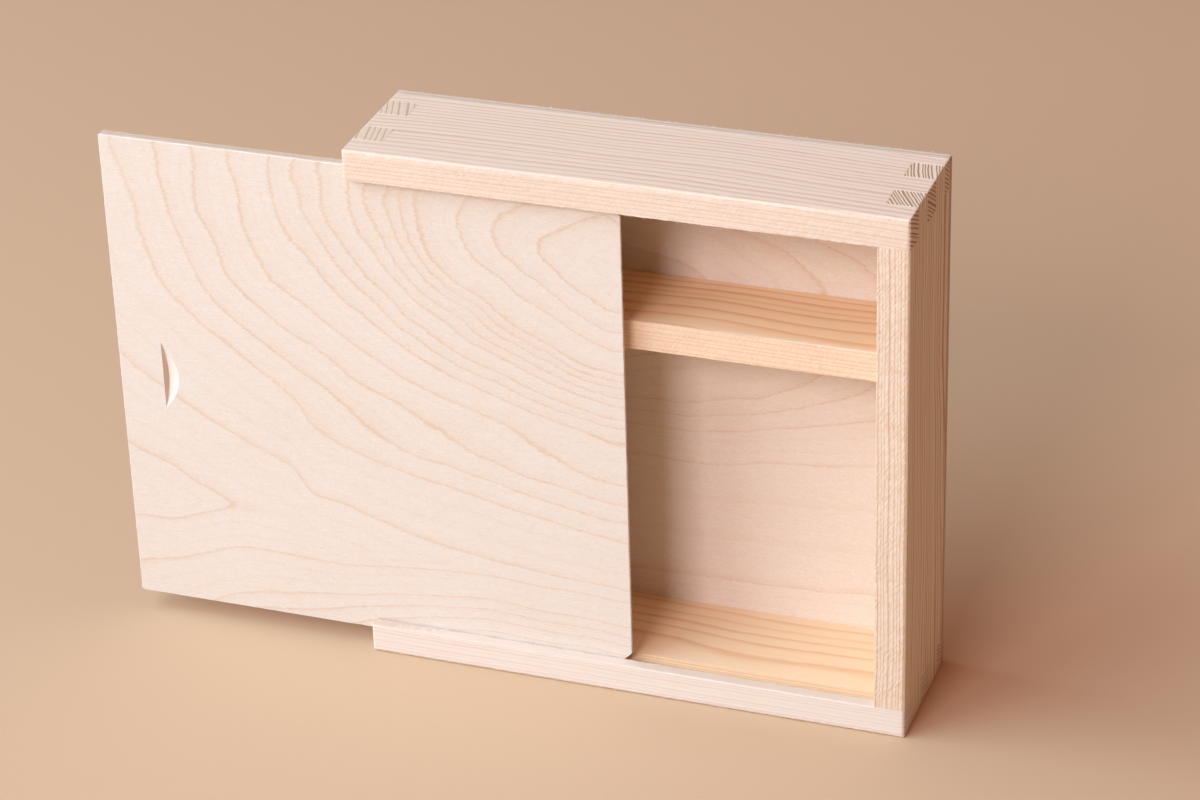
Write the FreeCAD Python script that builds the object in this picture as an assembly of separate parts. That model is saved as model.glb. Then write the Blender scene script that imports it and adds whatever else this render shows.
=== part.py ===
import FreeCAD, Part
import math
import os

# A small pine box that stands on its long edge: four finger-jointed boards, one fixed
# shelf, a three-ply birch back and a three-ply birch lid that slides in grooves.
# Millimetres. Origin: centre of the underside. +X right, +Y to the back, +Z up.

# Driving dimensions of the box
width = 180.0
height = 180.0
depth = 48.0
board = 10.0  # thickness of all the pine boards
ply_sheet = 3.8  # thickness of the birch plywood, lid and back
face_veneer = 1.2  # each outer ply; the core takes what is left
front_edge_radius = 1.4  # the sanded edges round the front
corner_radius = 0.5  # the other outer edges

# Finger joints, measured from the front face backwards
first_finger = 9.2
finger_pitch = 10.0

# Grooves that the lid runs in
lip = 4.0  # wood left in front of a groove
groove_width = 4.4
groove_depth = 4.0
groove_overrun = 1.6  # how far the long grooves run on under the closed end

# The shelf
shelf_top = 129.0  # height of its upper face
shelf_setback = 11.0  # front face of the box to front edge of the shelf

# The lid, as it stands part way out of the box
lid_length = 173.6
lid_height = 167.0
lid_running_gap = 0.3  # between the lid's face and the lip
lid_bottom_gap = 0.15
lid_overhang = 85.0  # how far it stands out of the left side
lid_clip = 6.0  # clipped corners at the leading edge
lid_land = 1.0  # what is left square of the leading edge, in front of its rear chamfer
lid_corner_radius = 0.8  # rounded corners at the trailing edge

# Thumb notch in the lid's front face: a leaning wall with a scooped ramp beside it
notch_offset = 15.4  # trailing edge of the lid to the wall
notch_height = 24.0
notch_reach = 5.4
notch_wall_run = 1.4  # how far the wall leans over its depth
notch_depth = 1.9

# Worked out from the sizes above
left = -width / 2
right = width / 2
front = -depth / 2
rear = depth / 2
frame_rear = rear - ply_sheet  # where the boards end and the back begins
groove_front = front + lip
groove_rear = groove_front + groove_width
lid_front = groove_front + lid_running_gap
lid_left = left - lid_overhang
lid_right = lid_left + lid_length
lid_rear = lid_front + ply_sheet
lid_bottom = board - groove_depth + lid_bottom_gap


def block(x0, x1, y0, y1, z0, z1):
    """A box between two opposite corners."""
    return Part.makeBox(x1 - x0, y1 - y0, z1 - z0, FreeCAD.Vector(x0, y0, z0))


def lies_on_front(edge):
    """Whether an edge lies in the front face."""
    return edge.BoundBox.YMax < front + 0.01


def outer_form():
    """The whole box as one rounded block: every outer piece is trimmed to it."""
    solid = block(left, right, front, rear, 0, height)
    solid = solid.makeFillet(front_edge_radius, [e for e in solid.Edges if lies_on_front(e)])
    sharp = [e for e in solid.Edges if e.BoundBox.YMax > rear - 0.01]
    return solid.makeFillet(corner_radius, sharp)


def end_fingers(x0, x1, margin=0.0):
    """The two fingers of an end board, full height, between x0 and x1."""
    fingers = []
    for index in (0, 2):
        start = front + first_finger + index * finger_pitch
        finger = block(x0, x1, start, start + finger_pitch, -margin, height + margin)
        fingers.append(finger)
    return fingers


def lid_groove():
    """The space that the lid slides in: open at the left, stopped at the right."""
    low = board - groove_depth
    high = height - board + groove_depth
    stop = right - board + groove_overrun
    channel = block(left - 1, stop, groove_front, groove_rear, low, high)
    leading = block(
        right - board - 1, right - board + groove_depth,
        groove_front, groove_rear, board, height - board,
    )
    return channel.fuse(leading)


def long_side(z0):
    """Top or bottom board: full width, notched at both ends for the end boards' fingers."""
    side = block(left, right, front, frame_rear, z0, z0 + board)
    side = side.cut(end_fingers(left - 1, left + board, 1.0))
    side = side.cut(end_fingers(right - board, right + 1, 1.0))
    return side.cut(lid_groove()).common(outer_form())


def end_board(x0, y0):
    """An end board: its body stands between the long sides, its fingers pass into them."""
    body = block(x0, x0 + board, y0, frame_rear, board, height - board)
    body = body.fuse(end_fingers(x0, x0 + board)).removeSplitter()
    return body.cut(lid_groove()).common(outer_form())


def shelf():
    """The fixed shelf, glued between the end boards and against the back."""
    return block(
        left + board, right - board,
        front + shelf_setback, frame_rear,
        shelf_top - board, shelf_top,
    )


def back_ply(y0, thickness):
    """One ply of the back, flush with the outside of the boards."""
    return block(left, right, y0, y0 + thickness, 0, height).common(outer_form())


def lid_outline():
    """The lid's outline in the XZ plane: two clipped corners and two rounded ones."""
    x0 = lid_left
    x1 = lid_right
    z0 = lid_bottom
    z1 = lid_bottom + lid_height
    r = lid_corner_radius
    bulge = r * (1 - math.sqrt(0.5))

    def at(x, z):
        return FreeCAD.Vector(x, 0, z)

    low_arc = Part.Arc(at(x0, z0 + r), at(x0 + bulge, z0 + bulge), at(x0 + r, z0))
    high_arc = Part.Arc(at(x0 + r, z1), at(x0 + bulge, z1 - bulge), at(x0, z1 - r))
    corners = [
        at(x0 + r, z0),
        at(x1 - lid_clip, z0),
        at(x1, z0 + lid_clip),
        at(x1, z1 - lid_clip),
        at(x1 - lid_clip, z1),
        at(x0 + r, z1),
    ]
    edges = [low_arc.toShape()]
    for start, end in zip(corners, corners[1:]):
        edges.append(Part.makeLine(start, end))
    edges.append(high_arc.toShape())
    edges.append(Part.makeLine(at(x0, z1 - r), at(x0, z0 + r)))
    return Part.Face(Part.Wire(edges))


def upright_prism(corners, z0, z1):
    """A solid with the given (x, y) corners, from height z0 to height z1."""
    points = [FreeCAD.Vector(x, y, z0) for x, y in corners]
    face = Part.Face(Part.makePolygon(points + points[:1]))
    return face.extrude(FreeCAD.Vector(0, 0, z1 - z0))


def thumb_notch():
    """The cutter for the thumb notch: a long cylinder laid along the ramp, cut off by the
    leaning wall."""
    wall = lid_left + notch_offset
    middle = lid_bottom + lid_height / 2
    ramp_run = notch_reach - notch_wall_run
    slope = math.hypot(ramp_run, notch_depth)
    along = FreeCAD.Vector(ramp_run / slope, -notch_depth / slope, 0)
    outward = FreeCAD.Vector(-notch_depth / slope, -ramp_run / slope, 0)
    sagitta = notch_depth * along.x
    radius = ((notch_height / 2) ** 2 + sagitta ** 2) / (2 * sagitta)
    deepest = FreeCAD.Vector(wall + notch_wall_run, lid_front + notch_depth, middle)
    start = deepest + outward * radius - along * radius
    scoop = Part.makeCylinder(radius, 2 * radius, start, along)
    lean = notch_wall_run / notch_depth
    beside_wall = [
        (wall - lean, lid_front - 1),
        (wall + notch_height, lid_front - 1),
        (wall + notch_height, lid_rear),
        (wall + lean * ply_sheet, lid_rear),
    ]
    return scoop.common(upright_prism(beside_wall, middle - notch_height, middle + notch_height))


def rear_chamfer():
    """The cutter for the 45 degree chamfer behind the lid's leading edge."""
    run = ply_sheet - lid_land
    corners = [
        (lid_right + 1, lid_front + lid_land - 1),
        (lid_right + 1, lid_rear + 1),
        (lid_right - run - 1, lid_rear + 1),
    ]
    return upright_prism(corners, lid_bottom - 1, lid_bottom + lid_height + 1)


def lid_ply(offset, thickness):
    """One ply of the lid, from offset behind its front face."""
    face = lid_outline()
    face.translate(FreeCAD.Vector(0, lid_front + offset, 0))
    sheet = face.extrude(FreeCAD.Vector(0, thickness, 0))
    return sheet.cut(thumb_notch()).cut(rear_chamfer())


def plies(prefix, names, make, start):
    """The three plies of a plywood sheet, each under its own name."""
    core = ply_sheet - 2 * face_veneer
    offset = start
    sheet = {}
    for name, thickness in zip(names, (face_veneer, core, face_veneer)):
        sheet[prefix + name] = make(offset, thickness)
        offset += thickness
    return sheet


nodes = {
    "top_side": long_side(height - board),
    "bottom_side": long_side(0),
    "closed_end": end_board(right - board, front),
    "entry_end": end_board(left, groove_rear),
    "shelf": shelf(),
}
nodes.update(plies("back_", ("inner_veneer", "core", "outer_veneer"), back_ply, frame_rear))
nodes.update(plies("lid_", ("front_veneer", "core", "rear_veneer"), lid_ply, 0))

os.makedirs("parts", exist_ok=True)
for name, shape in nodes.items():
    shape.exportStep("parts/" + name + ".step")
    box = shape.BoundBox
    print(
        name, shape.isValid(), len(shape.Solids), "solid,", round(shape.Volume / 1000, 2), "cm3,",
        "x", round(box.XMin, 2), round(box.XMax, 2),
        "y", round(box.YMin, 2), round(box.YMax, 2),
        "z", round(box.ZMin, 2), round(box.ZMax, 2),
    )
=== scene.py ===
import math
import random

import bmesh
import bpy
import numpy as np
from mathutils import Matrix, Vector, noise


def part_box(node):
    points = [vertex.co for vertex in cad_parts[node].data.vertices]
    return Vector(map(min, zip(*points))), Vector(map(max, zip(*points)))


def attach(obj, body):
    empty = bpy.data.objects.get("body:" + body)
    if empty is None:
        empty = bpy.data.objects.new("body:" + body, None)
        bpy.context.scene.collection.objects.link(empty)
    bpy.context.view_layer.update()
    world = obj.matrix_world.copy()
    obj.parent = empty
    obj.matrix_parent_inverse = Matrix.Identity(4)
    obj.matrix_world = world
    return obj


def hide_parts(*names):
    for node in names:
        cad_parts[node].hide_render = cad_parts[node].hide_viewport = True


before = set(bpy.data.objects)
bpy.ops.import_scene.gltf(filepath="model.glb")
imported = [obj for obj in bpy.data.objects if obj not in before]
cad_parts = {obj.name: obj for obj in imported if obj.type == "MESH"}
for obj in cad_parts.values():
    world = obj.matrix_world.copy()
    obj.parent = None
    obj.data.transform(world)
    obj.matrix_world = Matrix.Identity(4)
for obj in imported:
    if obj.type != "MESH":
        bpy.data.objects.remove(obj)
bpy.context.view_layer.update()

# A pine box with finger joints, a fixed shelf, a three-ply birch back and a sliding
# three-ply birch lid. Metres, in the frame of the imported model: the origin is the
# centre of the underside, +X right, +Y to the back, +Z up.

MM = 0.001

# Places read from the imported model
box_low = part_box("bottom_side")[0]
left = box_low.x
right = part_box("bottom_side")[1].x
front = box_low.y
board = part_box("bottom_side")[1].z
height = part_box("top_side")[1].z
frame_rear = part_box("shelf")[1].y
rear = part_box("back_outer_veneer")[1].y
lid_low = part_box("lid_front_veneer")[0]
lid_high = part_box("lid_front_veneer")[1]

# Details of the joints and grooves, as the box was designed
first_finger = 9.2 * MM
finger_pitch = 10.0 * MM
lip = 4.0 * MM
groove_width = 4.4 * MM
groove_depth = 4.0 * MM
groove_overrun = 1.6 * MM
front_edge_radius = 1.1 * MM
corner_radius = 0.5 * MM
lip_edge_radius = 0.5 * MM
seam_bevel = 0.09 * MM
fine = 0.6 * MM
depth_step = 1.2 * MM
sheet_step = 2.0 * MM
bevel_above = math.radians(40)
smooth_below = math.radians(32)
edge_shares = (0, 0.22, 0.45, 0.7, 1)

groove_front = front + lip
groove_rear = groove_front + groove_width

random.seed(7)


# ---------------------------------------------------------------- solids


def stops(marks, step):
    """The marks in order, with each stretch between them divided into equal steps."""
    marks = sorted(set(round(m, 7) for m in marks))
    found = []
    for start, end in zip(marks, marks[1:]):
        count = max(1, round((end - start) / step))
        found += [start + (end - start) * i / count for i in range(count)]
    return found + [marks[-1]]


def edge_marks(value, inward, radius):
    """Marks beside an edge that is to be rounded, from the edge inwards."""
    return [value + inward * radius * share for share in edge_shares]


def cell_mesh(name, xs, ys, zs, inside):
    """The outer faces of all the grid's cells whose middles lie inside, as one closed mesh."""
    axes = [np.array(values) for values in (xs, ys, zs)]
    middles = [(a[1:] + a[:-1]) / 2 for a in axes]
    full = np.pad(inside(*np.meshgrid(*middles, indexing="ij")), 1)
    counts = [len(a) for a in axes]
    corners = []
    for axis in range(3):
        second, third = (axis + 1) % 3, (axis + 2) % 3
        for side in (0, 1):
            exposed = full & ~np.roll(full, 1 - 2 * side, axis)
            cells = np.argwhere(exposed) - 1
            ring = [(0, 0), (1, 0), (1, 1), (0, 1)]
            if side == 0:
                ring.reverse()
            quad = []
            for a, b in ring:
                corner = cells.copy()
                corner[:, axis] += side
                corner[:, second] += a
                corner[:, third] += b
                quad.append((corner[:, 0] * counts[1] + corner[:, 1]) * counts[2] + corner[:, 2])
            corners.append(np.stack(quad, 1))
    used, faces = np.unique(np.concatenate(corners), return_inverse=True)
    faces = faces.reshape(-1, 4)
    i, rest = np.divmod(used, counts[1] * counts[2])
    j, k = np.divmod(rest, counts[2])
    points = np.stack([axes[0][i], axes[1][j], axes[2][k]], 1)
    mesh = bpy.data.meshes.new(name)
    mesh.from_pydata(points.tolist(), [], faces.tolist())
    return mesh


def round_pair(p, first, second, radius):
    """Rounds the edge where two outer faces meet: the square beside it becomes a quarter disc.
    first and second are (axis, face position, inward sign)."""
    a_axis, a_face, a_sign = first
    b_axis, b_face, b_sign = second
    a = (p[a_axis] - a_face) * a_sign
    b = (p[b_axis] - b_face) * b_sign
    if a >= radius or b >= radius:
        return
    u = radius - a
    v = radius - b
    scale = max(u, v) / max(math.hypot(u, v), 1e-9)
    p[a_axis] = a_face + a_sign * (radius - u * scale)
    p[b_axis] = b_face + b_sign * (radius - v * scale)


def round_outside(p):
    """Moves a point of the box onto its rounded outer form."""
    x_faces = ((0, left, 1), (0, right, -1))
    z_faces = ((2, 0, 1), (2, height, -1))
    front_face = (1, front, 1)
    rear_face = (1, rear, -1)
    for face in x_faces + z_faces:
        round_pair(p, face, front_face, front_edge_radius)
    for face in x_faces + z_faces:
        round_pair(p, face, rear_face, corner_radius)
    for x_face in x_faces:
        for z_face in z_faces:
            round_pair(p, x_face, z_face, corner_radius)


def round_lip(p):
    """Rounds the upper front edge of the bottom board, where the opening meets its lip."""
    if p.z <= board and p.x < right - board - 0.1 * MM:
        round_pair(p, (2, board, -1), (1, front, 1), lip_edge_radius)


def ragged(p, amount, grain_axis, seed):
    """A small wandering shift, long along the grain and short across it."""
    q = Vector((p.x, p.y, p.z)) / MM
    q[grain_axis] *= 0.25
    return amount * noise.noise(q * 1.3 + Vector((seed, seed * 2, 0)))


def finish_solid(name, mesh, material, body, nodes, wear=None, bevel=seam_bevel):
    """Rounds, eases, wears and registers one wooden piece that stands for CAD nodes."""
    bm = bmesh.new()
    bm.from_mesh(mesh)
    for vertex in bm.verts:
        p = vertex.co.copy()
        round_outside(p)
        if "bottom_side" in nodes:
            round_lip(p)
        vertex.co = p
    sharp = [e for e in bm.edges if e.calc_face_angle(0) > bevel_above]
    bmesh.ops.bevel(
        bm, geom=sharp, offset=bevel, segments=1, profile=0.5, affect="EDGES", clamp_overlap=True
    )
    if wear:
        bm.normal_update()
        for vertex in bm.verts:
            vertex.co += wear(vertex.co, vertex.normal)
    bm.to_mesh(mesh)
    bm.free()
    return register(name, mesh, material, body, nodes)


def register(name, mesh, material, body, nodes):
    """Makes a mesh into a piece that rides on a body and stands for CAD nodes. Faces of
    many corners are left flat, so that their shading doesn't bend."""
    mesh.shade_smooth()
    mesh.set_sharp_from_angle(angle=smooth_below)
    for polygon in mesh.polygons:
        if len(polygon.vertices) > 4:
            polygon.use_smooth = False
    piece = bpy.data.objects.new(name, mesh)
    bpy.context.scene.collection.objects.link(piece)
    mesh.materials.append(material)
    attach(piece, body)
    if nodes:
        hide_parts(*nodes)
    return piece


# ---------------------------------------------------------------- node maths


class Value:
    """A number in a shader: sums written on it become Math nodes."""

    def __init__(self, tree, socket):
        self.tree = tree
        self.socket = socket

    def apply(self, operation, *others, clamp=False):
        node = self.tree.nodes.new("ShaderNodeMath")
        node.operation = operation
        node.use_clamp = clamp
        for entry, value in zip(node.inputs, (self,) + others):
            plug(self.tree, entry, value)
        return Value(self.tree, node.outputs[0])

    def __add__(self, other):
        return self.apply("ADD", other)

    def __sub__(self, other):
        return self.apply("SUBTRACT", other)

    def __mul__(self, other):
        return self.apply("MULTIPLY", other)

    def __truediv__(self, other):
        return self.apply("DIVIDE", other)

    def __pow__(self, other):
        return self.apply("POWER", other)

    def __neg__(self):
        return self.apply("MULTIPLY", -1.0)

    def __rsub__(self, other):
        return (-self) + other

    def __rtruediv__(self, other):
        return self.apply("POWER", -1.0) * other

    __radd__ = __add__
    __rmul__ = __mul__

    def root(self):
        return self.apply("SQRT")

    def size(self):
        return self.apply("ABSOLUTE")

    def part(self):
        return self.apply("FRACT")

    def least(self, other):
        return self.apply("MINIMUM", other)

    def most(self, other):
        return self.apply("MAXIMUM", other)

    def limited(self):
        return self.apply("ADD", 0.0, clamp=True)

    def between(self, start, end):
        """0 before start, 1 after end, smooth in between."""
        node = self.tree.nodes.new("ShaderNodeMapRange")
        node.interpolation_type = "SMOOTHSTEP"
        for entry, value in zip(node.inputs[:3], (self, start, end)):
            plug(self.tree, entry, value)
        return Value(self.tree, node.outputs[0])

    def curve(self, points, top):
        """A piecewise straight line through (x, y) points. top is the largest x."""
        node = self.tree.nodes.new("ShaderNodeFloatCurve")
        peak = max(y for x, y in points)
        line = node.mapping.curves[0]
        while len(line.points) < len(points):
            line.points.new(0.5, 0.5)
        for point, (x, y) in zip(line.points, points):
            point.location = (x / top, y / peak)
            point.handle_type = "VECTOR"
        node.mapping.update()
        plug(self.tree, node.inputs[1], self / top)
        return Value(self.tree, node.outputs[0]) * peak


def plug(tree, entry, value):
    """Links a Value to an input, or sets the input to a plain number."""
    if isinstance(value, Value):
        tree.links.new(value.socket, entry)
    else:
        entry.default_value = value


def vector(tree, x, y, z):
    """A vector socket made of three numbers or Values."""
    node = tree.nodes.new("ShaderNodeCombineXYZ")
    for entry, value in zip(node.inputs, (x, y, z)):
        plug(tree, entry, value)
    return node.outputs[0]


def noise_at(tree, x, y, z, detail=2.0, roughness=0.5):
    """Smooth noise about 0, from -1 to 1, at a place counted in noise cells."""
    node = tree.nodes.new("ShaderNodeTexNoise")
    node.inputs["Scale"].default_value = 1.0
    node.inputs["Detail"].default_value = detail
    node.inputs["Roughness"].default_value = roughness
    tree.links.new(vector(tree, x, y, z), node.inputs["Vector"])
    return (Value(tree, node.outputs[0]) - 0.5) * 2.0


def blend(tree, share, first, second):
    """A colour between two: each is an (r, g, b) or a socket, and share goes from 0 to 1."""
    node = tree.nodes.new("ShaderNodeMix")
    node.data_type = "RGBA"
    plug(tree, node.inputs["Factor"], share)
    for entry, colour in ((node.inputs[6], first), (node.inputs[7], second)):
        if isinstance(colour, tuple):
            entry.default_value = colour + (1.0,)
        else:
            tree.links.new(colour, entry)
    return node.outputs[2]


def linear(red, green, blue):
    """A colour given as 8-bit sRGB, as linear values."""
    found = []
    for value in (red, green, blue):
        share = value / 255
        found.append(share / 12.92 if share <= 0.04045 else ((share + 0.055) / 1.055) ** 2.4)
    return tuple(found)


def new_material(name):
    """A material, its tree and shader, the place on the piece in mm, and the normal."""
    material = bpy.data.materials.new(name)
    material.use_nodes = True
    tree = material.node_tree
    shader = tree.nodes["Principled BSDF"]
    shader.inputs["Specular IOR Level"].default_value = 0.28
    coordinates = tree.nodes.new("ShaderNodeTexCoord")
    split = tree.nodes.new("ShaderNodeSeparateXYZ")
    tree.links.new(coordinates.outputs["Object"], split.inputs[0])
    place = [Value(tree, socket) / MM for socket in split.outputs]
    facing = tree.nodes.new("ShaderNodeSeparateXYZ")
    tree.links.new(coordinates.outputs["Normal"], facing.inputs[0])
    normal = [Value(tree, socket) for socket in facing.outputs]
    return material, tree, shader, place, normal


def surface(tree, shader, colour, roughness, relief, depth):
    """Wires the colour, the roughness and a relief of the given depth in metres."""
    tree.links.new(colour, shader.inputs["Base Color"])
    plug(tree, shader.inputs["Roughness"], roughness)
    bump = tree.nodes.new("ShaderNodeBump")
    bump.inputs["Strength"].default_value = 1.0
    bump.inputs["Distance"].default_value = depth
    plug(tree, bump.inputs["Height"], relief)
    tree.links.new(bump.outputs[0], shader.inputs["Normal"])


# ---------------------------------------------------------------- pine

half_side_mm = 90.0


def pine(
    name, grain, pith, ring, seed, colours, drift=(0.0, 0.0), bow=0.0, face=0.55, bands=0.78,
    torn=0.5, front_mm=-24.0, inner=None,
):
    """Pine cut from a log: rings run round a pith line that lies along the grain.
    grain is the axis number; pith its place on the two other axes, in mm; ring the
    mean ring width in mm; drift how far the grain strays across, per mm along; bow how
    far it bends over half its length; face and bands how dark the rings are on the long
    grain and on the end grain; torn how rough the saw left the front face, which lies at
    front_mm; inner a warmer, darker pair of colours for the faces inside the box, partly a
    guessed wood tone and partly painted shade, the depth behind which they take over, and
    the axis and the two places on it between which they come in."""
    material, tree, shader, place, normal = new_material(name)
    light, late = colours
    others = [axis for axis in (0, 1, 2) if axis != grain]
    along = place[grain]
    p, q = (place[axis] for axis in others)
    run = along - (half_side_mm if grain == 2 else 0.0)
    arch = run * run * (bow / half_side_mm ** 2)
    stray = noise_at(tree, along * 0.012, p * 0.02, q * 0.02 + seed, 1.0) * 1.6
    wobble = noise_at(tree, along * 0.05, p * 0.3, q * 0.3 + seed, 2.0) * 0.16
    dp = p + stray + wobble + run * drift[0] + arch - pith[0]
    dq = q + stray * 0.6 + wobble + run * drift[1] - pith[1]
    radius = (dp * dp + dq * dq).root()
    widths = noise_at(tree, radius * (0.45 / ring), seed, 0.0, 1.0) * 0.8
    phase = (radius / ring + widths + seed * 0.37).part()
    gradual = phase.between(0.35, 0.88)
    lateness = gradual * gradual * (1.0 - phase.between(0.88, 1.0))
    strong = noise_at(tree, radius * (0.8 / ring), seed + 3.0, along * 0.005, 1.0) * 0.8 + 0.9

    fibres = noise_at(tree, along * 0.16, p * 5.0, q * 5.0, 3.0, 0.65)
    streaks = noise_at(tree, along * 0.02, p * 0.9, q * 0.9 + seed, 2.0)
    clouds = noise_at(tree, along * 0.012, p * 0.08, q * 0.08 + seed, 2.0)
    end = normal[grain].size().between(0.6, 0.8)
    at_front = 1.0 - place[1].between(front_mm + 1.0, front_mm + 1.8)
    fronted = (-normal[1]).between(0.35, 0.85) * (1.0 - end) * at_front

    # Inside the box the colours turn warmer and darker: partly a guessed wood tone, partly painted shade
    # that deepens and warms the shade there.
    if inner:
        warmer, depth, axis, outer_end, inner_end = inner
        inside = place[1].between(depth - 1.0, depth + 1.0)
        inside = inside * place[axis].between(outer_end, inner_end)
        light_mix = blend(tree, inside, light, warmer[0])
        late_mix = blend(tree, inside, late, warmer[1])
    else:
        light_mix = light
        late_mix = late
    lines = lateness * strong * face * (1.0 - fronted * 0.3)
    side_share = (lines + fibres * 0.11 + streaks * 0.08 + clouds * 0.08).limited()
    side_colour = blend(tree, side_share, light_mix, late_mix)
    start = 0.90 - 0.40 / ring
    crisp = phase.between(start - 0.10 / ring, start + 0.08 / ring)
    crisp = crisp * (1.0 - phase.between(0.90, 0.96))
    pores = noise_at(tree, p * 6.0, q * 6.0, along * 0.3 + seed, 2.0)
    end_share = (crisp * bands + pores * 0.10 + 0.03).limited()
    end_light = tuple(c * s for c, s in zip(light, (0.98, 0.97, 0.95)))
    end_dark = tuple(c * s for c, s in zip(late, (0.50, 0.38, 0.30)))
    colour = blend(tree, end, side_colour, blend(tree, end_share, end_light, end_dark))

    # Torn fibres left by the saw, slanting both ways across the front faces
    x, y, z = place
    up_slope = (x * 0.5 + z * 0.87) * 0.30
    down_slope = (x * 0.6 - z * 0.8) * 0.35
    rising = noise_at(tree, up_slope, (x * 0.87 - z * 0.5) * 2.8, y, 2.0, 0.55)
    falling = noise_at(tree, down_slope, (x * 0.8 + z * 0.6) * 2.8, y + 7.0, 2.0, 0.55)
    tufts = noise_at(tree, along * 0.7, p * 3.0, q * 3.0, 3.0, 0.7)
    patches = noise_at(tree, x * 0.08, y, z * 0.15, 1.0) * 0.35 + 0.65
    fuzz = rising.most(falling - 0.15) * 1.3 + tufts * 0.5
    sawn = fronted * patches * torn
    pale = tuple(min(1.0, c * s) for c, s in zip(light, (1.02, 1.07, 1.12)))
    # Painted shade: upward faces in front of the groove and below 50 mm, the top of the bottom board's
    # lip, are blended towards the late-wood colour.
    before_groove = 1.0 - y.between(front_mm + 3.8, front_mm + 4.2)
    lip = normal[2].between(0.5, 0.9) * before_groove * (1.0 - z.between(50.0, 60.0))
    colour = blend(tree, lip * 0.3, colour, late)
    lifted = (sawn * fuzz.between(0.12, 0.50) * 0.62).limited()
    colour = blend(tree, lifted, colour, pale)
    sunk = (sawn * ((-fuzz).between(-0.18, 0.25) * 0.36 + 0.10)).limited()
    colour = blend(tree, sunk, colour, late)

    relief = fibres * 0.10 - lateness * 0.10
    relief = relief + fronted * patches * min(torn, 1.0) * fuzz * 0.36 + end * pores * 0.12
    roughness = 0.62 + fibres * 0.06 - lateness * 0.05 + fronted * 0.12 + end * 0.1
    surface(tree, shader, colour, roughness, relief, 0.00022)
    return material


# ---------------------------------------------------------------- birch


def cathedral(tree, x, z, centre, flatten, lean, seed):
    """How far out a place lies among nested, rounded growth lines about a centre, in mm.
    Each line steps sideways from fibre to fibre, as peeled veneer does."""
    warp_x = noise_at(tree, x * 0.026, seed, z * 0.026, 2.0) * 9.0
    warp_z = noise_at(tree, x * 0.022, seed + 5.0, z * 0.022, 2.0) * 3.5
    steps = noise_at(tree, x * 0.12, seed + 2.0, z * 0.70, 4.0, 0.72) * 2.0
    dx = x + warp_x + steps - centre[0]
    dz = z + warp_z - centre[1]
    across = (dx - dz * lean[0]).size()
    ripple = noise_at(tree, x * 0.30, seed + 7.0, z * 1.1, 3.0, 0.7) * 0.9
    down = (dz + ripple - dx * lean[1]) * flatten
    down = (down * down + 64.0).root() - 8.0
    rough_reach = (across.most(down) + across.least(down) * 0.5) / 165.0
    power = (rough_reach * 1.5 + 0.95).least(2.6)
    return (across ** power + down ** power) ** (1.0 / power)


def birch(name, reach_of, radii, light, late, seed, strength, wall_end=-100.0):
    """Peeled birch veneer: smooth pale wood with fine dark growth lines where its reach
    passes each of the given radii, in mm. Cuts that face right are darker up to wall_end: painted shade."""
    material, tree, shader, place, normal = new_material(name)
    x, y, z = place
    reach = reach_of(tree, x, z)
    top = radii[-1] * 1.12
    counts = [(0.0, 0.0)] + [(value, number + 1.0) for number, value in enumerate(radii)]
    counts.append((top, len(radii) + 1.0))
    gaps = [b[0] - a[0] for a, b in zip(counts, counts[1:])]
    spaces = [((a[0] + b[0]) / 2, gap) for a, b, gap in zip(counts, counts[1:], gaps)]
    spaces = [(0.0, gaps[0])] + spaces + [(top, gaps[-1])]
    phase = reach.curve(counts, top).part()
    before = (1.0 - phase) * reach.curve(spaces, top)
    after = phase * reach.curve(spaces, top)
    width = noise_at(tree, x * 0.04, seed + 1.0, z * 0.04, 1.0) * 0.25 + 0.75
    line = (1.0 - (before / width).between(0.0, 1.9)).most(1.0 - after.between(0.0, 0.8))
    line = line * reach.between(5.0, 9.0)
    halo = (1.0 - before.between(0.0, 7.0)) * (after.between(0.0, 0.5))
    third = (phase * 3.0).part()
    minor = third.between(0.7, 0.96) * (1.0 - third.between(0.96, 1.0))
    vary = noise_at(tree, x * 0.05, seed + 4.0, z * 0.05, 3.0) * 1.0 + 0.8
    fibres = noise_at(tree, x * 0.22, y * 2.0, z * 2.8, 3.0, 0.7)
    flecks = noise_at(tree, x * 0.55, y * 2.0, z * 4.5 + seed, 2.0, 0.6).between(0.15, 0.6)
    mottle = noise_at(tree, x * 1.3, y * 2.0 + seed, z * 2.6, 2.0, 0.6)
    clouds = noise_at(tree, x * 0.018, seed, z * 0.03, 2.0)
    texture = fibres * 0.22 + flecks * 0.20 + mottle * 0.28 + clouds * 0.07
    share = line * vary * strength + minor * 0.07 + halo * 0.10 + texture + 0.12
    edge = 1.0 - normal[1].size().between(0.4, 0.8)
    face_colour = blend(tree, share.limited(), light, late)
    edge_pores = noise_at(tree, x * 3.0, y * 5.0, z * 3.0, 3.0, 0.7)
    edge_share = (edge_pores * 0.5 + 0.25).limited()
    edge_light = tuple(c * 0.97 for c in light)
    edge_dark = tuple(c * s for c, s in zip(late, (0.75, 0.68, 0.6)))
    edge_colour = blend(tree, edge_share, edge_light, edge_dark)
    # Faces tilted off the sheet's plane, the thumb notch's ramp and the sanded rims, are blended towards
    # near white: partly the paler fresh cut, partly a painted highlight.
    ramp = (1.0 - normal[1].size().between(0.86, 0.97)) * 0.6
    face_colour = blend(tree, ramp, face_colour, linear(250, 246, 246))
    colour = blend(tree, edge, face_colour, edge_colour)
    # Painted shade: cuts that face right, left of wall_end, which is the thumb notch's wall, are blended
    # towards a darker brown.
    wall = normal[0].between(0.45, 0.75) * (1.0 - x.between(wall_end - 1.0, wall_end))
    colour = blend(tree, wall * 0.6, colour, linear(196, 160, 136))
    relief = fibres * 0.4 - flecks * 0.35 + mottle * 0.3 - line * 0.1 + edge * edge_pores * 1.2
    roughness = 0.55 + fibres * 0.06 + edge * 0.2
    surface(tree, shader, colour, roughness, relief, 0.00006)
    return material


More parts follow.
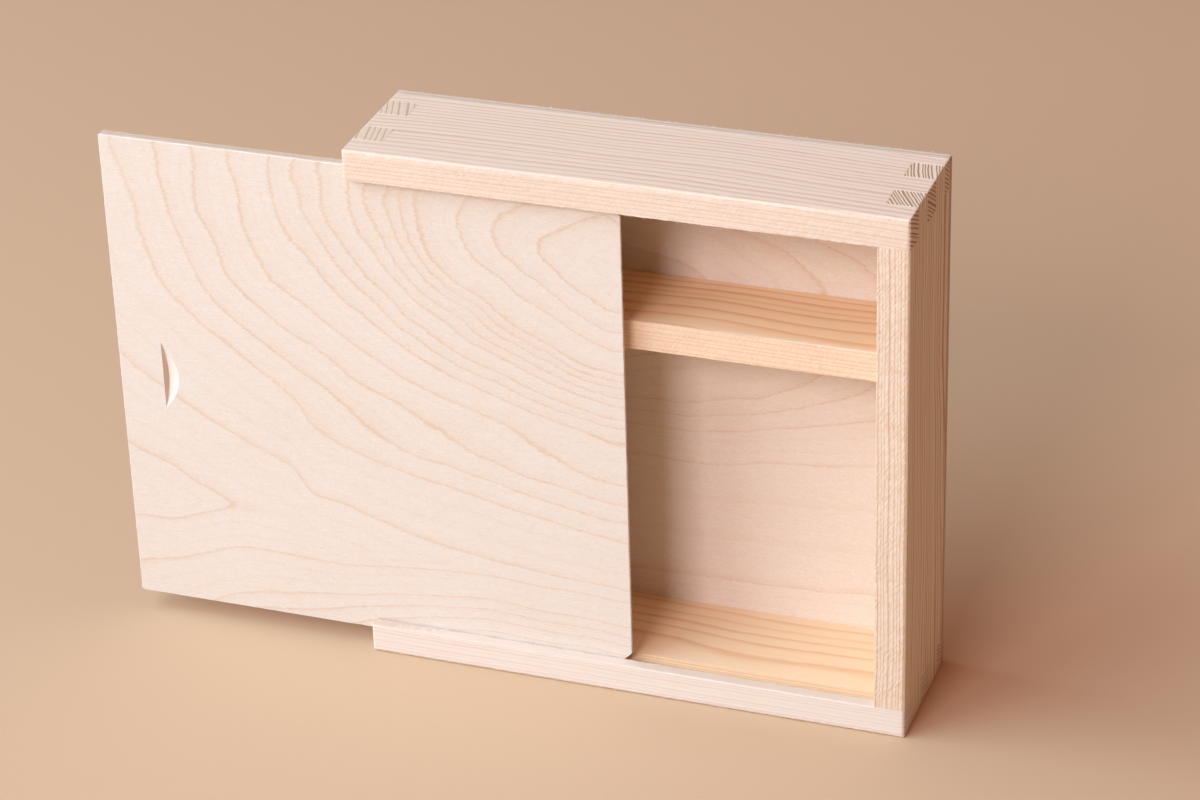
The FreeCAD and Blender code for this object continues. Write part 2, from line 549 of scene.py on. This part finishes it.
def birch_core(name, seed):
    """The middle ply: its grain runs upright, so its end grain shows at the top and bottom
    edges, and long grain at the sides and in the thumb notch."""
    material, tree, shader, place, normal = new_material(name)
    x, y, z = place
    fibres = noise_at(tree, x * 3.5, y * 3.5, z * 0.14, 3.0, 0.65)
    pores = noise_at(tree, x * 4.0, y * 5.0, z * 0.6 + seed, 3.0, 0.7)
    end = normal[2].size().between(0.5, 0.8)
    side = normal[0].size().between(0.5, 0.8)
    cut = 1.0 - end.most(side)
    clean = blend(tree, (fibres * 0.35 + 0.2).limited(), linear(250, 246, 246), linear(232, 216, 206))
    long_grain = blend(tree, (fibres * 0.5 + 0.4).limited(), linear(218, 190, 172), linear(176, 144, 124))
    end_grain = blend(tree, (pores * 0.6 + 0.45).limited(), linear(236, 222, 210), linear(188, 162, 142))
    colour = blend(tree, end, long_grain, end_grain)
    colour = blend(tree, cut, colour, clean)
    surface(tree, shader, colour, fibres * 0.05 + 0.7, fibres * 0.5 + pores * 0.5, 0.0001)
    return material


lid_left_mm = lid_low.x / MM
lid_top_mm = lid_high.z / MM


def lid_reach(tree, x, z):
    """The lid's figure: lines nested about a centre near its upper right, with a step
    left of its middle, folded back below a ridge that crosses its foot."""
    across = x - lid_left_mm
    down = lid_top_mm - z
    step = across.between(57.0, 67.0) * down.between(80.0, 100.0) * (1.0 - down.between(132.0, 146.0))
    down = down - step * 8.0
    ridge = across * 0.05 + 128.5 + noise_at(tree, across * 0.02, 3.0, 0.0, 1.0) * 4.0
    below = down - ridge
    soft = (below * below + 4.0).root()
    folded = ridge - soft * (below.between(-2.0, 2.0) * 0.9 + 1.0)
    return cathedral(tree, across, folded, (170.0, 22.0), 1.92, (0.08, 0.115), 4.0)


def back_reach(tree, x, z):
    """The back's figure: long tongues that point to the right, level with the shelf."""
    return cathedral(tree, x, z, (-95.0, 118.0), 4.2, (0.0, 0.0), 21.0)


LID_RADII = (
    24.0, 37.0, 49.0, 65.0, 69.5, 74.0, 80.0, 85.5, 94.5, 100.5, 108.5, 123.5, 138.0, 150.5,
    164.0, 205.0, 247.0,
)
BACK_RADII = (40.0, 112.0, 153.0, 169.0, 188.0, 231.0, 408.0)

pine_light = linear(240, 224, 208)
pine_late = linear(214, 172, 138)
# Warmer, darker colours for the faces inside the box: partly a guessed wood tone, partly painted shade.
warm_light = linear(249, 222, 190)
warm_late = linear(224, 158, 102)
birch_light = linear(235, 229, 225)
birch_late = linear(219, 180, 143)
back_light = linear(243, 232, 223)
back_late = linear(220, 181, 149)
# The lid's rear face, towards the inside of the box: a warmer, darker birch, partly a guessed tone and
# partly painted shade.
inner_light = linear(237, 218, 198)
inner_late = linear(210, 172, 136)

# warm, rosy and amber colour only the faces inside the box: partly a guessed wood tone, partly painted
# shade.
pale = (pine_light, pine_late)
warm = (warm_light, warm_late)
rosy = (linear(248, 214, 178), linear(226, 156, 102))
mixed = (linear(249, 226, 202), linear(226, 172, 126))
rose = (linear(243, 227, 214), linear(214, 173, 143))
mauve = (linear(240, 230, 223), linear(206, 172, 154))
cool = (linear(247, 234, 220), linear(210, 164, 126))
amber = (linear(240, 202, 158), linear(210, 148, 94))
materials = {
    "top_side": pine(
        "pine_top", 0, (-105.0, -3.0), 1.25, 3.1, rose, drift=(0.0, 0.010), bow=2.6, face=0.62,
        torn=0.85, inner=(warm, -16.5, 2, 174.0, 172.5),
    ),
    "bottom_side": pine(
        "pine_bottom", 0, (-19.0, -95.0), 1.3, 8.4, mauve, drift=(0.012, 0.004), face=0.40, bands=0.42,
        torn=0.2, inner=(warm, -17.0, 2, 3.0, 5.0),
    ),
    "closed_end": pine(
        "pine_closed_end", 2, (161.0, 31.0), 1.0, 5.7, cool, drift=(0.006, 0.01), face=1.1,
        torn=1.6, inner=(amber, -16.5, 0, 85.0, 83.5),
    ),
    "entry_end": pine(
        "pine_entry_end", 2, (-240.0, -37.0), 2.0, 11.3, pale, drift=(0.004, 0.0), face=0.7,
        bands=0.42, front_mm=-15.6, inner=(amber, -14.0, 0, -84.0, -82.5),
    ),
    "shelf": pine(
        "pine_shelf", 0, (-25.0, 32.0), 1.4, 14.9, mixed, drift=(-0.02, 0.0), face=0.62,
        torn=1.0, front_mm=-13.0, inner=(rosy, -11.5, 0, -90.0, -89.0),
    ),
    "birch_lid": birch(
        "birch_lid", lid_reach, LID_RADII, birch_light, birch_late, 4.0, 0.29,
        wall_end=lid_left_mm + 30.0,
    ),
    "birch_inner": birch(
        "birch_inner", back_reach, BACK_RADII, inner_light, inner_late, 14.0, 0.4
    ),
    "birch_back": birch(
        "birch_back", back_reach, BACK_RADII, back_light, back_late, 9.0, 0.26
    ),
    "birch_core": birch_core("birch_core", 2.0),
}


# ---------------------------------------------------------------- pieces of the box


def finger_span(index):
    """Where one of an end board's fingers starts and ends, front to back."""
    start = front + first_finger + index * 2 * finger_pitch
    return start, start + finger_pitch


def in_fingers(y):
    """Which places, front to back, lie in one of an end board's fingers."""
    found = np.zeros(y.shape, bool)
    for index in (0, 1):
        start, end = finger_span(index)
        found |= (y > start) & (y < end)
    return found


def in_groove(x, y, z):
    """Which places lie in the grooves that the lid slides in."""
    low = board - groove_depth
    high = height - board + groove_depth
    across = (y > groove_front) & (y < groove_rear)
    channel = (x < right - board + groove_overrun) & (z > low) & (z < high)
    leading = (x < right - board + groove_depth) & (z > board) & (z < height - board)
    return across & (channel | leading)


depth_marks = edge_marks(front, 1, front_edge_radius) + [frame_rear]
depth_marks += [groove_front, groove_rear] + [y for i in (0, 1) for y in finger_span(i)]
width_marks = edge_marks(left, 1, front_edge_radius) + edge_marks(right, -1, front_edge_radius)
width_marks += [left + board, right - board, right - board + groove_overrun]


def long_side(z0, z1):
    """Grid and rule for the top or bottom board."""
    groove_end = board - groove_depth if z0 < board else height - board + groove_depth
    z_marks = [z0, z1, groove_end]
    outer = (0, 1) if z0 < board else (height, -1)
    z_marks += edge_marks(outer[0], outer[1], front_edge_radius)
    if z0 < board:
        z_marks += edge_marks(board, -1, lip_edge_radius)

    def inside(x, y, z):
        ends = (x < left + board) | (x > right - board)
        return ~(ends & in_fingers(y)) & ~in_groove(x, y, z)

    return stops(width_marks, fine), stops(depth_marks, depth_step), stops(z_marks, fine), inside


def end_board(x0, x1, y0):
    """Grid and rule for an end board."""
    x_marks = [x0, x1]
    if x0 > 0:
        x_marks += edge_marks(right, -1, front_edge_radius) + [right - board + groove_depth]
    else:
        x_marks += edge_marks(left, 1, corner_radius)
    y_marks = [y for y in depth_marks if y >= y0 - 1e-6] + [y0]
    z_marks = edge_marks(0, 1, front_edge_radius) + edge_marks(height, -1, front_edge_radius)
    z_marks += [board, height - board]

    def inside(x, y, z):
        body = (z > board) & (z < height - board)
        return (body | in_fingers(y)) & ~in_groove(x, y, z)

    return stops(x_marks, fine), stops(y_marks, depth_step), stops(z_marks, fine), inside


front_skin = 0.3 * MM
worn_edge = 1.4 * MM


def wear_board(grain, seed):
    """Small unevenness of a sawn and planed board, most on its front and its groove edges."""

    def wear(co, normal):
        shift = normal * ragged(co, 0.03 * MM, grain, seed)
        if co.y < front + front_skin:
            shift += normal * ragged(co * 2.0, 0.07 * MM, grain, seed + 4)
        near_edge = min(co.z, height - co.z) < worn_edge and co.y < front + worn_edge
        if near_edge:
            shift += normal * ragged(co * 2.4, 0.12 * MM, grain, seed + 6)
        near_lip = abs(co.z - board) < 0.15 * MM or abs(co.z - (height - board)) < 0.15 * MM
        if near_lip and co.y < groove_rear + 0.2 * MM:
            shift += normal * ragged(co * 3.1, 0.16 * MM, grain, seed + 8)
        return shift

    return wear


grids = {
    "top_side": (long_side(height - board, height), 0),
    "bottom_side": (long_side(0, board), 0),
    "closed_end": (end_board(right - board, right, front), 2),
    "entry_end": (end_board(left, left + board, groove_rear), 2),
}
for number, (node, (grid, grain)) in enumerate(grids.items()):
    mesh = cell_mesh(node + "_wood", *grid)
    finish_solid(
        node + "_wood", mesh, materials[node], "box", [node], wear_board(grain, number * 3.0)
    )

shelf_low, shelf_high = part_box("shelf")
shelf_grid = (
    stops([shelf_low.x, shelf_high.x], 1.0 * MM),
    stops([shelf_low.y, shelf_low.y + 1.0 * MM, shelf_high.y], 1.2 * MM),
    stops([shelf_low.z, shelf_low.z + 0.6 * MM, shelf_high.z - 0.6 * MM, shelf_high.z], 1.0 * MM),
)


def wear_shelf(co, normal):
    """The shelf's unevenness, most on its sawn front."""
    shift = normal * ragged(co, 0.03 * MM, 0, 21.0)
    if co.y < shelf_low.y + front_skin:
        shift += normal * ragged(co * 2.0, 0.16 * MM, 0, 25.0)
    return shift


finish_solid(
    "shelf_wood", cell_mesh("shelf_wood", *shelf_grid, lambda x, y, z: x > -1),
    materials["shelf"], "box", ["shelf"], wear_shelf, 0.25 * MM,
)

for node in ("back_inner_veneer", "back_core", "back_outer_veneer"):
    low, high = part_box(node)
    y_marks = [low.y, high.y]
    if node == "back_outer_veneer":
        y_marks = [low.y] + edge_marks(high.y, -1, corner_radius)
    grid = (
        stops(edge_marks(left, 1, corner_radius) + edge_marks(right, -1, corner_radius), sheet_step),
        stops(y_marks, 0.6 * MM),
        stops(edge_marks(0, 1, corner_radius) + edge_marks(height, -1, corner_radius), sheet_step),
    )
    core = node == "back_core"
    finish_solid(
        node + "_sheet", cell_mesh(node + "_sheet", *grid, lambda x, y, z: x > -1),
        materials["birch_core" if core else "birch_back"], "box", [node],
        None, 0.05 * MM,
    )


def fibre_mesh(name, starts):
    """Torn fibres: thin curved spikes, each (place, direction, lift, length, thickness)."""
    bm = bmesh.new()
    for place, direction, lift, length, thickness in starts:
        side = direction.cross(lift).normalized()
        rings = []
        for step in range(4):
            share = step / 3
            centre = place + direction * (length * share) + lift * (length * 0.45 * share ** 2)
            thin = thickness * (1.0 - 0.85 * share)
            ring = [centre + side * thin, centre - side * thin * 0.6 + lift * thin, centre - lift * thin]
            rings.append([bm.verts.new(c) for c in ring])
        for first, second in zip(rings, rings[1:]):
            for a in range(3):
                b = (a + 1) % 3
                bm.faces.new((first[a], first[b], second[b], second[a]))
        bm.faces.new(reversed(rings[0]))
        bm.faces.new(rings[-1])
    bmesh.ops.recalc_face_normals(bm, faces=bm.faces)
    mesh = bpy.data.meshes.new(name)
    bm.to_mesh(mesh)
    bm.free()
    return mesh


def fibres_along(start, end, count, outward, spread, longest):
    """Fibres torn up along an edge, leaning outward and lying roughly along it."""
    start = Vector(start)
    run = Vector(end) - start
    along = run.normalized()
    found = []
    for _ in range(count):
        place = start + run * random.random() + Vector(spread) * random.uniform(-1, 1)
        heading = 1 if random.random() < 0.6 else -1
        direction = (along * heading + Vector(outward) * random.uniform(0.0, 0.35)).normalized()
        length = longest * random.uniform(0.25, 1.0) ** 1.6
        root = place - direction * 0.1 * MM
        thickness = random.uniform(0.05, 0.13) * MM
        found.append((root, direction, Vector(outward), length, thickness))
    return found


def front_fibres(count, xs, zs, longest):
    """Short fibres that stand off a front face, along the slant of the saw."""
    found = []
    for _ in range(count):
        place = Vector((random.uniform(*xs), front, random.uniform(*zs)))
        direction = saw_slant * random.choice((-1, 1))
        length = random.uniform(0.4, longest) * MM
        found.append((place, direction.normalized(), Vector((0, -1, 0)), length, 0.05 * MM))
    return found


saw_slant = Vector((0.57, -0.15, 0.82))
margin = 1 * MM
lip_face = front + 0.02 * MM
lip_back = groove_front - 0.22 * MM
lip_foot = 0.6 * MM
top_lip = height - board
fibre_left = left + margin
fibre_right = right - margin

# Edges with torn fibres: start, end, count, way out, spread, longest
edges = [
    (
        (fibre_left, lip_face, top_lip), (fibre_right, lip_face, top_lip),
        150, (0, -0.6, -0.6), (0, 0, 0.3 * MM), 0.7 * MM,
    ),
    (
        (fibre_left, lip_back, board), (right - board - margin, lip_back, board),
        130, (0, -0.1, 0.9), (0, 0.1 * MM, 0), 2.2 * MM,
    ),
    (
        (fibre_left, lip_face, lip_foot), (fibre_right, lip_face, lip_foot),
        60, (0, -0.8, -0.2), (0, 0, 0.4 * MM), 1.6 * MM,
    ),
    (
        (fibre_left, rear, height), (fibre_right, rear, height),
        90, (0, 0.3, 0.9), (0, 0.1 * MM, 0), 0.7 * MM,
    ),
]
starts = []
for edge in edges:
    starts += fibres_along(*edge)
starts += front_fibres(260, (left, right), (top_lip, height - margin), 1.1)
starts += front_fibres(260, (right - board, fibre_right), (board, top_lip), 1.2)
register("torn_fibres", fibre_mesh("torn_fibres", starts), materials["top_side"], "box", [])


# ---------------------------------------------------------------- the lid

lid_clip = 6.0 * MM
lid_land = 1.0 * MM
lid_corner_radius = 0.8 * MM
notch_offset = 15.4 * MM
notch_height = 24.0 * MM
notch_reach = 5.4 * MM
notch_depth = 1.9 * MM
notch_wall_run = 1.4 * MM
notch_foot_radius = 0.6 * MM


def lid_outline(step):
    """Points round the lid, anticlockwise from the lower left, evenly close together."""
    x0, x1 = lid_low.x, lid_high.x
    z0, z1 = lid_low.z, lid_high.z
    r = lid_corner_radius
    corners = []
    for index in range(7):
        turn = math.radians(180 + 15 * index)
        corners.append((x0 + r + r * math.cos(turn), z0 + r + r * math.sin(turn)))
    corners += [(x1 - lid_clip, z0), (x1, z0 + lid_clip), (x1, z1 - lid_clip), (x1 - lid_clip, z1)]
    for index in range(7):
        turn = math.radians(90 + 15 * index)
        corners.append((x0 + r + r * math.cos(turn), z1 - r + r * math.sin(turn)))
    points = []
    for start, end in zip(corners, corners[1:] + corners[:1]):
        count = max(1, round(math.dist(start, end) / step))
        for i in range(count):
            share = i / count
            x = start[0] + (end[0] - start[0]) * share
            z = start[1] + (end[1] - start[1]) * share
            points.append((x, z))
    return points


def notch_cutter():
    """The thumb notch as a closed solid: a leaning wall and a scooped ramp beside it."""
    wall = lid_low.x + notch_offset
    middle = (lid_low.z + lid_high.z) / 2
    ramp_run = notch_reach - notch_wall_run
    ramp = math.atan2(notch_depth, ramp_run)
    sagitta = notch_depth * math.cos(ramp)
    radius = ((notch_height / 2) ** 2 + sagitta ** 2) / (2 * sagitta)
    bm = bmesh.new()
    rows = []
    reach_out = 1.5 * MM
    steps = 32
    overrun = 1.06
    for i in range(steps + 1):
        z = -overrun * notch_height / 2 + overrun * notch_height * i / steps
        rise = (radius - math.sqrt(radius ** 2 - z ** 2)) / math.cos(ramp)
        floor = notch_depth - rise
        foot = Vector((wall + notch_wall_run * floor / notch_depth, lid_low.y + floor))
        up_wall = Vector((-notch_wall_run, -notch_depth)).normalized()
        up_ramp = Vector((ramp_run, -notch_depth)).normalized()
        profile = [foot + up_wall * ((floor + reach_out) / -up_wall.y)]
        ease = notch_foot_radius * max(0.15, floor / notch_depth)
        for bend in range(7):
            share = bend / 6
            start = foot + up_wall * ease * (1 - share)
            end = foot + up_ramp * ease * share
            profile.append(start * (1 - share) + end * share)
        profile.append(foot + up_ramp * ((floor + reach_out) / -up_ramp.y))
        rows.append([bm.verts.new((x, y, middle + z)) for x, y in profile])
    count = len(rows[0])
    for low_row, high_row in zip(rows, rows[1:]):
        for a in range(count):
            b = (a + 1) % count
            bm.faces.new((low_row[a], low_row[b], high_row[b], high_row[a]))
    bm.faces.new(rows[0])
    bm.faces.new(reversed(rows[-1]))
    bmesh.ops.recalc_face_normals(bm, faces=bm.faces)
    mesh = bpy.data.meshes.new("notch_cutter")
    bm.to_mesh(mesh)
    bm.free()
    cutter = bpy.data.objects.new("notch_cutter", mesh)
    bpy.context.scene.collection.objects.link(cutter)
    return cutter


def lid_ply(node, inset, eased):
    """One ply of the lid: its sawn edge wanders a little, eased lists the faces
    (-1 front, 1 rear) whose rim is sanded, and a chamfer runs behind its leading edge."""
    low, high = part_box(node)
    x0, x1, z0, z1 = lid_low.x, lid_high.x, lid_low.z, lid_high.z
    rim = 0.22 * MM
    middle_x = (x0 + x1) / 2
    middle_z = (z0 + z1) / 2
    chamfer_start = lid_low.y + lid_land
    layers = [(low.y, 0.0), (high.y, 0.0)]
    if low.y < chamfer_start < high.y:
        layers.insert(1, (chamfer_start, 0.0))
    if -1 in eased:
        layers[0:1] = [(low.y, rim), (low.y + rim * 0.35, rim * 0.35), (low.y + rim, 0.0)]
    if 1 in eased:
        layers[-1:] = [(high.y - rim, 0.0), (high.y - rim * 0.35, rim * 0.35), (high.y, rim)]
    bm = bmesh.new()
    rings = []
    for y, back_off in layers:
        ring = []
        reach = x1 - max(0.0, y - chamfer_start)
        for x, z in lid_outline(0.9 * MM):
            spot = Vector((x, y * 3, z)) / MM * 0.45 + Vector((inset * 9e5, 0, 0))
            chip = max(0.0, noise.noise(spot))
            shrink = inset + back_off + chip * 0.16 * MM
            on_x = min(x - x0, x1 - x) < 0.05 * MM
            on_z = min(z - z0, z1 - z) < 0.05 * MM
            both = on_x == on_z
            shift_x = shrink * (0.7 if both else 1.0 if on_x else 0.0)
            shift_z = shrink * (0.7 if both else 1.0 if on_z else 0.0)
            new_x = min(x - math.copysign(shift_x, x - middle_x), reach - shift_x * 0.5)
            ring.append(bm.verts.new((new_x, y, z - math.copysign(shift_z, z - middle_z))))
        rings.append(ring)
    count = len(rings[0])
    for first, second in zip(rings, rings[1:]):
        for i in range(count):
            j = (i + 1) % count
            bm.faces.new((first[i], first[j], second[j], second[i]))
    bm.faces.new(reversed(rings[0]))
    bm.faces.new(rings[-1])
    bmesh.ops.dissolve_degenerate(bm, dist=1e-6, edges=bm.edges)
    bmesh.ops.recalc_face_normals(bm, faces=bm.faces)
    mesh = bpy.data.meshes.new(node + "_sheet")
    bm.to_mesh(mesh)
    bm.free()
    return mesh


def cut(mesh, cutter):
    """The mesh with the notch cut out of it for good."""
    piece = bpy.data.objects.new("uncut", mesh)
    bpy.context.scene.collection.objects.link(piece)
    modifier = piece.modifiers.new("notch", "BOOLEAN")
    modifier.operation = "DIFFERENCE"
    modifier.solver = "EXACT"
    modifier.object = cutter
    bpy.context.view_layer.update()
    graph = bpy.context.evaluated_depsgraph_get()
    result = bpy.data.meshes.new_from_object(piece.evaluated_get(graph))
    bpy.data.objects.remove(piece)
    return result


cutter = notch_cutter()
lid_plies = (
    ("lid_front_veneer", 0.0, (-1,), "birch_lid", "birch_face", True),
    ("lid_core", 0.08 * MM, (), "birch_core", "birch_core", True),
    ("lid_rear_veneer", 0.0, (1,), "birch_inner", "birch_face", False),
)
for node, inset, eased, material, slot_name, notched in lid_plies:
    mesh = lid_ply(node, inset, eased)
    if notched:
        mesh = cut(mesh, cutter)
    register(node + "_sheet", mesh, materials[material], "lid", [node])
bpy.data.objects.remove(cutter)

starts = fibres_along(
    (lid_low.x + 3 * MM, lid_high.y, lid_high.z), (lid_high.x - 8 * MM, lid_high.y, lid_high.z),
    110, (0, 0.2, 0.9), (0, 0.1 * MM, 0), 0.7 * MM,
)
ply_line = lid_low.y + 0.5 * MM
starts += fibres_along(
    (lid_low.x, ply_line, lid_low.z + 3 * MM), (lid_low.x, ply_line, lid_high.z - 3 * MM),
    50, (-0.9, 0.0, 0.0), (0, 0.4 * MM, 0), 0.3 * MM,
)
splinters = fibre_mesh("lid_splinters", starts)
register("lid_splinters", splinters, materials["birch_lid"], "lid", [])


# ---------------------------------------------------------------- studio


def make_floor():
    """A plain pale floor."""
    mesh = bpy.data.meshes.new("floor")
    half = 6.0
    corners = [(-half, -half, 0), (half, -half, 0), (half, half, 0), (-half, half, 0)]
    mesh.from_pydata(corners, [], [(0, 1, 2, 3)])
    floor = bpy.data.objects.new("floor", mesh)
    bpy.context.scene.collection.objects.link(floor)
    material = bpy.data.materials.new("floor")
    material.use_nodes = True
    shader = material.node_tree.nodes["Principled BSDF"]
    shader.inputs["Base Color"].default_value = (0.66, 0.47, 0.32, 1.0)
    shader.inputs["Roughness"].default_value = 0.8
    mesh.materials.append(material)


def make_world():
    """Dim warm light from all round, a little stronger from above."""
    world = bpy.data.worlds.new("studio")
    bpy.context.scene.world = world
    world.use_nodes = True
    tree = world.node_tree
    background = tree.nodes["Background"]
    coordinates = tree.nodes.new("ShaderNodeTexCoord")
    split = tree.nodes.new("ShaderNodeSeparateXYZ")
    tree.links.new(coordinates.outputs["Generated"], split.inputs[0])
    above = Value(tree, split.outputs[2]).between(0.2, 0.8)
    colour = blend(tree, above, (0.15, 0.12, 0.06), (0.36, 0.12, 0.06))
    tree.links.new(colour, background.inputs["Color"])
    background.inputs["Strength"].default_value = 1.0


def add_lamp(name, azimuth, elevation, distance, width, tall, energy, colour):
    """A soft rectangular lamp that faces the box. Its azimuth is counted in degrees to the
    left of the lid's front."""
    lamp = bpy.data.lights.new(name, "AREA")
    lamp.shape = "RECTANGLE"
    lamp.size = width
    lamp.size_y = tall
    lamp.energy = energy
    lamp.color = colour
    thing = bpy.data.objects.new(name, lamp)
    bpy.context.scene.collection.objects.link(thing)
    turn = math.radians(azimuth)
    rise = math.radians(elevation)
    flat = distance * math.cos(rise)
    thing.location = (-flat * math.sin(turn), -flat * math.cos(turn), 0.1 + distance * math.sin(rise))
    aim = Vector((0, 0, 0.09)) - thing.location
    thing.rotation_euler = aim.to_track_quat("-Z", "Y").to_euler()


def make_lamps():
    """A key light nearly in front of the lid, and a broad cooler fill from the left."""
    add_lamp(
        "key", azimuth=7.5, elevation=30.0, distance=2.6, width=0.85, tall=0.8,
        energy=32.0, colour=(0.95, 0.87, 0.90),
    )
    add_lamp(
        "fill", azimuth=60.0, elevation=40.0, distance=2.6, width=2.8, tall=2.4,
        energy=96.0, colour=(0.62, 0.84, 0.92),
    )


def make_camera():
    """A long lens, above and to the right of the lid's front."""
    data = bpy.data.cameras.new("camera")
    data.lens = 113.07
    data.sensor_width = 36.0
    camera = bpy.data.objects.new("camera", data)
    bpy.context.scene.collection.objects.link(camera)
    camera.location = (0.3449, -0.9842, 0.6559)
    camera.rotation_euler = [math.radians(a) for a in (61.718, 1.574, 19.334)]
    bpy.context.scene.camera = camera


make_floor()
make_world()
make_lamps()
make_camera()
bpy.context.scene.view_settings.view_transform = "Standard"
